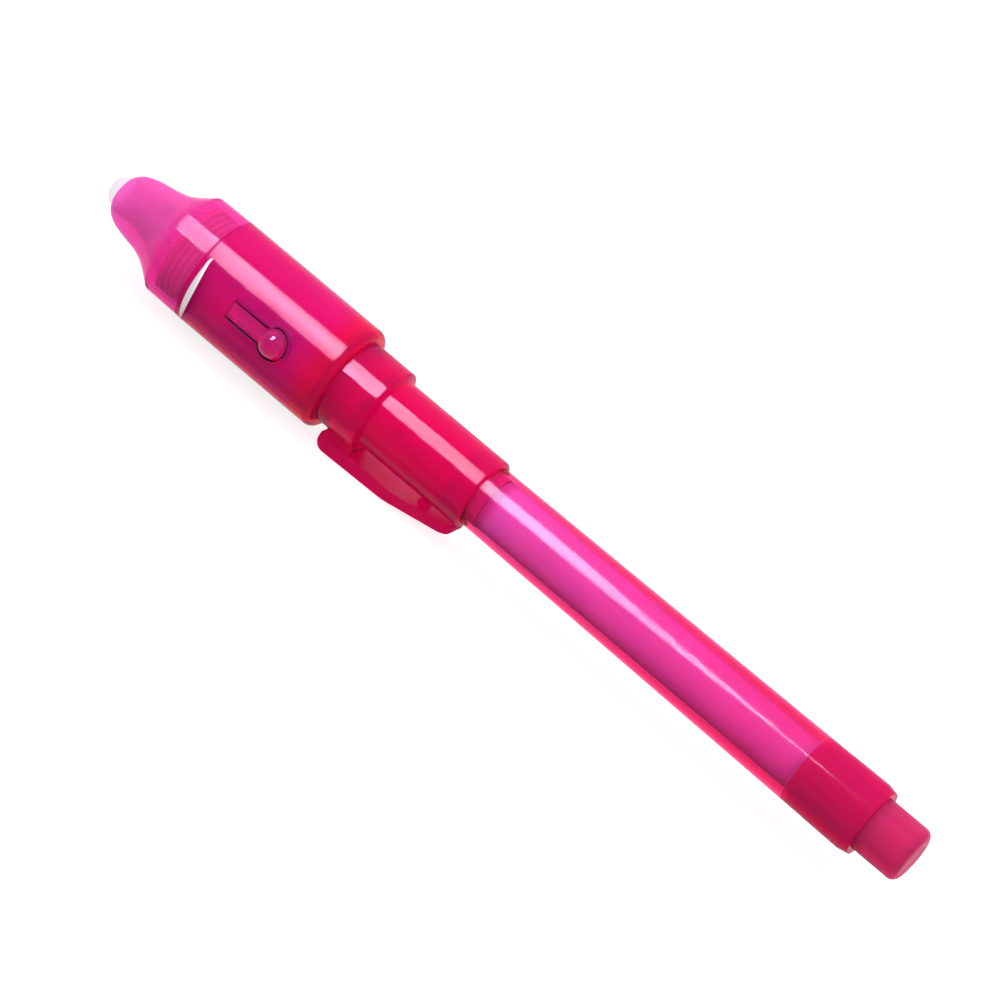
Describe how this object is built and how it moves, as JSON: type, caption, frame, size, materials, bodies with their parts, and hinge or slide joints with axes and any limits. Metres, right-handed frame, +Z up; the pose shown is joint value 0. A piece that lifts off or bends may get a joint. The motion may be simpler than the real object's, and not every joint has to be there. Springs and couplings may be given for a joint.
{
  "type": "uv invisible ink pen",
  "caption": "Capped felt-tip pen for invisible ink, in translucent pink plastic, with a button-operated UV lamp head, pocket clip and pull tab on its cap.",
  "frame": {"origin": "centre of the flat tail end, on the pen's axis", "axes": "+X along the pen from tail to lamp, +Z up as it lies on its clip, button to +Y"},
  "size_m": [0.1395, 0.0174, 0.0168],
  "materials": {
    "barrel_pink": "glossy translucent moulding",
    "plug_rose": "slightly frosted moulding",
    "fibre": "soft fibre rod",
    "film": "thin film",
    "felt": "bonded felt",
    "cap_crimson": "glossy translucent moulding",
    "head_magenta": "glossy translucent moulding",
    "nose_pink": "glossy translucent moulding",
    "holder_plastic": "satin moulding",
    "cell_steel": "pressed nickel-plated steel",
    "contact_sheet": "plated spring sheet",
    "tinned_wire": "tinned",
    "clear_epoxy": "clear",
    "tab_white": "thin white sheet"
  },
  "bodies": {
    "pen": {"barrel": "barrel_pink", "tail_plug": "plug_rose", "ink_wick": "fibre", "wick_sleeve": "film", "nib_section": "barrel_pink", "nib": "felt"},
    "cap": {"cap_tube": "cap_crimson", "head_shell": "head_magenta", "cell_holder": "holder_plastic", "button_cell_1": "cell_steel", "button_cell_2": "cell_steel", "button_cell_3": "cell_steel", "rear_contact": "contact_sheet", "led_anode_lead": "tinned_wire", "led_cathode_lead": "tinned_wire", "led_lens": "clear_epoxy"},
    "nose": {"nose_cap": "nose_pink"},
    "button": {"push_button": "head_magenta"},
    "leaf": {"switch_leaf": "contact_sheet"},
    "clip": {"pocket_clip": "cap_crimson"},
    "tab": {"pull_tab": "tab_white"}
  },
  "joints": [
    {"name": "cap_pull", "type": "slide", "parent": "pen", "child": "cap", "axis": [1, 0, 0], "range_m": [0, 0.045]},
    {"name": "nose_pull", "type": "slide", "parent": "cap", "child": "nose", "axis": [1, 0, 0], "range_m": [0, 0.02]},
    {"name": "button_press", "type": "hinge", "parent": "cap", "child": "button", "pos_m": [0.11375, 0.00727, 0.00089], "axis": [0, -0.1219, 0.9925], "range_deg": [0, 5], "stiffness_Nm_per_rad": 0.18},
    {"name": "leaf_flex", "type": "hinge", "parent": "cap", "child": "leaf", "pos_m": [0.11295, 0.00528, 0.00065], "axis": [0, -0.1219, 0.9925], "range_deg": [0, 5]},
    {"name": "clip_flex", "type": "hinge", "parent": "cap", "child": "clip", "pos_m": [0.09495, 0, -0.00692], "axis": [0, -1, 0], "range_deg": [0, 5], "stiffness_Nm_per_rad": 0.6},
    {"name": "tab_pull", "type": "slide", "parent": "cap", "child": "tab", "axis": [0, 0.9854, -0.1702], "range_m": [0, 0.012]}
  ],
  "couplings": [
    {"joint": "leaf_flex", "follows": "button_press", "ratio": 1}
  ]
}
